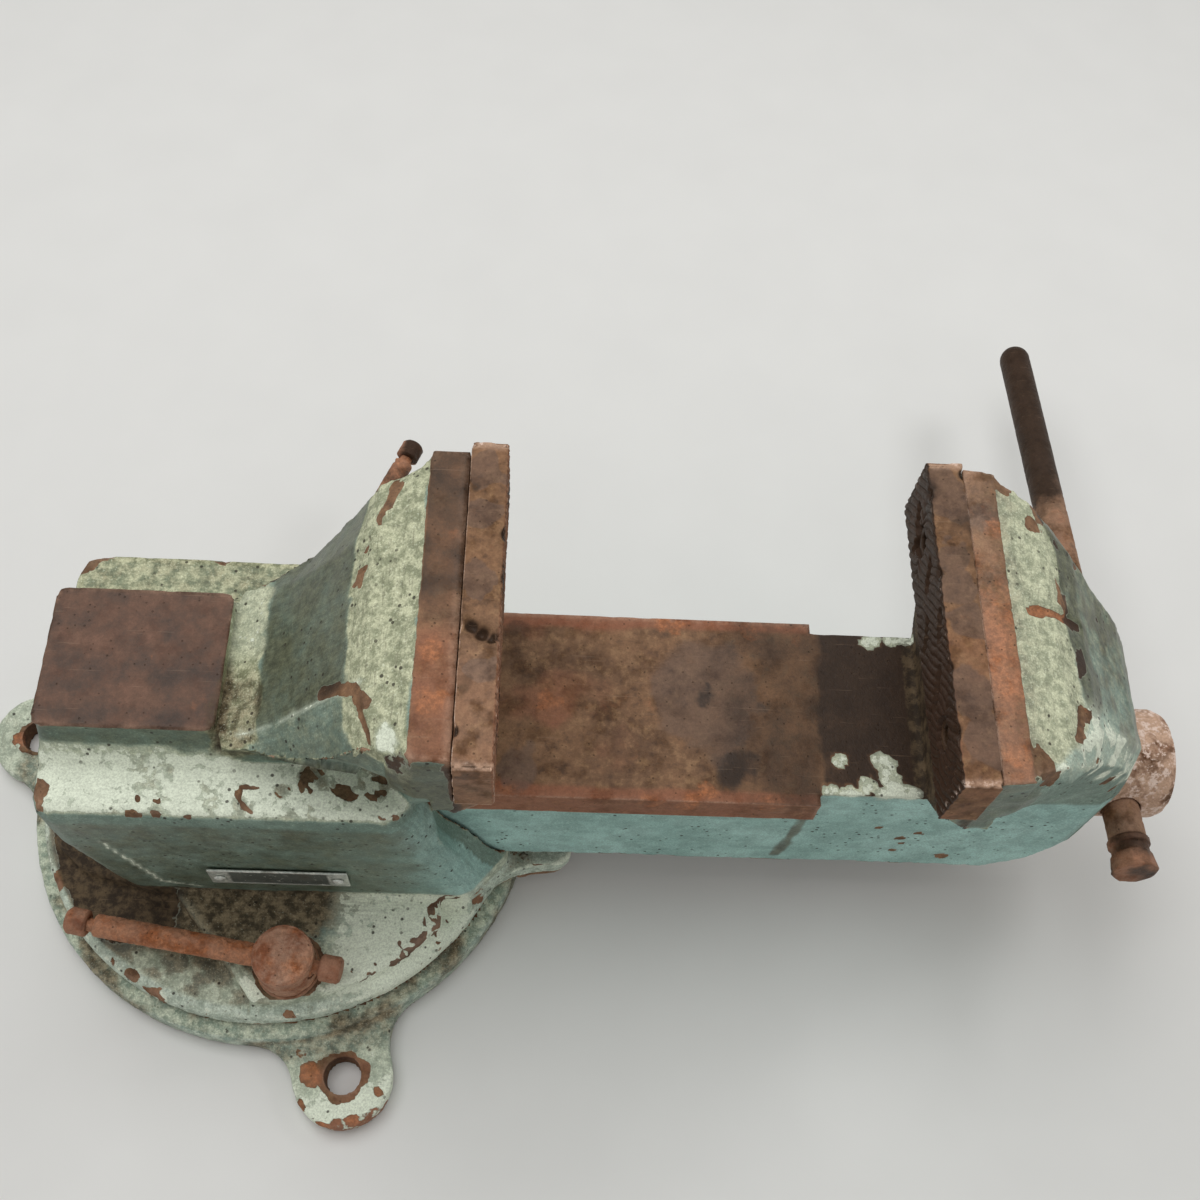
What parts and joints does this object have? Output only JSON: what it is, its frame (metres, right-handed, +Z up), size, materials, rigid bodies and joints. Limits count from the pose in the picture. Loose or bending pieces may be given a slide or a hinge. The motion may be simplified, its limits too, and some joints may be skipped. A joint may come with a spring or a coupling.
{
  "type": "swivel-base machinist vise",
  "caption": "Heavy bench vise on a swivel base, with screw-driven sliding jaw, serrated jaw plates, anvil block, sliding handle and lock bars.",
  "frame": {"origin": "on the bench plane, at the axis about which the vise swivels", "axes": "+X along the beam from the anvil towards the screw's handle, +Y to the side away from the nameplate, +Z up from the bench"},
  "size_m": [0.6253, 0.474, 0.2525],
  "materials": {
    "painted_casting": "old pale green enamel, chipped to brown primer and rust",
    "worn_iron": "machined faces gone brown, edges worn bright",
    "rusted_steel": "rough orange-brown rust with rubbed high spots",
    "nameplate_metal": "dull, stained and painted over"
  },
  "bodies": {
    "base": {"base_plate": "painted_casting", "swivel_pin": "worn_iron"},
    "body": {"vise_body": "painted_casting", "fixed_jaw_plate": "worn_iron", "fixed_jaw_screw_near": "rusted_steel", "fixed_jaw_screw_far": "rusted_steel", "main_nut": "worn_iron", "nut_bolt_rear": "rusted_steel", "nut_bolt_front": "rusted_steel", "near_lock_nut": "worn_iron", "far_lock_nut": "worn_iron", "near_lock_washer": "rusted_steel", "far_lock_washer": "rusted_steel", "nameplate": "nameplate_metal", "nameplate_rivet_rear": "nameplate_metal", "nameplate_rivet_front": "nameplate_metal"},
    "slide": {"sliding_jaw": "painted_casting", "moving_jaw_plate": "worn_iron", "moving_jaw_screw_near": "rusted_steel", "moving_jaw_screw_far": "rusted_steel", "thrust_washer": "worn_iron"},
    "screw": {"main_screw": "rusted_steel", "screw_collar": "worn_iron", "collar_pin": "rusted_steel"},
    "handle": {"handle_bar": "rusted_steel", "handle_cap": "rusted_steel"},
    "near_lock": {"near_lock_screw": "rusted_steel"},
    "near_bar": {"near_lock_bar": "rusted_steel", "near_lock_bar_outer_cap": "rusted_steel", "near_lock_bar_inner_cap": "rusted_steel"},
    "far_lock": {"far_lock_screw": "rusted_steel"},
    "far_bar": {"far_lock_bar": "rusted_steel", "far_lock_bar_outer_cap": "rusted_steel", "far_lock_bar_inner_cap": "rusted_steel"}
  },
  "joints": [
    {"name": "swivel", "type": "hinge", "parent": "base", "child": "body", "pos_m": [0, 0, 0.018], "axis": [0, 0, 1], "continuous": true},
    {"name": "jaw_slide", "type": "slide", "parent": "body", "child": "slide", "axis": [1, 0, 0], "range_m": [-0.182, 0.03]},
    {"name": "screw_turn", "type": "hinge", "parent": "slide", "child": "screw", "pos_m": [0.43, 0, 0.0975], "axis": [1, 0, 0], "range_deg": [-10300, 1690]},
    {"name": "handle_slide", "type": "slide", "parent": "screw", "child": "handle", "axis": [0, -0.9917, 0.1288], "range_m": [-0.015, 0.236]},
    {"name": "near_lock_turn", "type": "hinge", "parent": "body", "child": "near_lock", "pos_m": [0.016, -0.10347, 0.05], "axis": [0, 0, 1], "range_deg": [0, 190]},
    {"name": "near_bar_slide", "type": "slide", "parent": "near_lock", "child": "near_bar", "axis": [-0.9877, 0.1564, 0], "range_m": [-0.082, 0.0015]},
    {"name": "far_lock_turn", "type": "hinge", "parent": "body", "child": "far_lock", "pos_m": [0.016, 0.10347, 0.05], "axis": [0, 0, 1], "range_deg": [-70, 110]},
    {"name": "far_bar_slide", "type": "slide", "parent": "far_lock", "child": "far_bar", "axis": [0.3665, 0.9304, 0], "range_m": [-0.009, 0.0015]}
  ],
  "couplings": [
    {"joint": "jaw_slide", "follows": "screw_turn", "m_per_rad": 0.0010106}
  ]
}
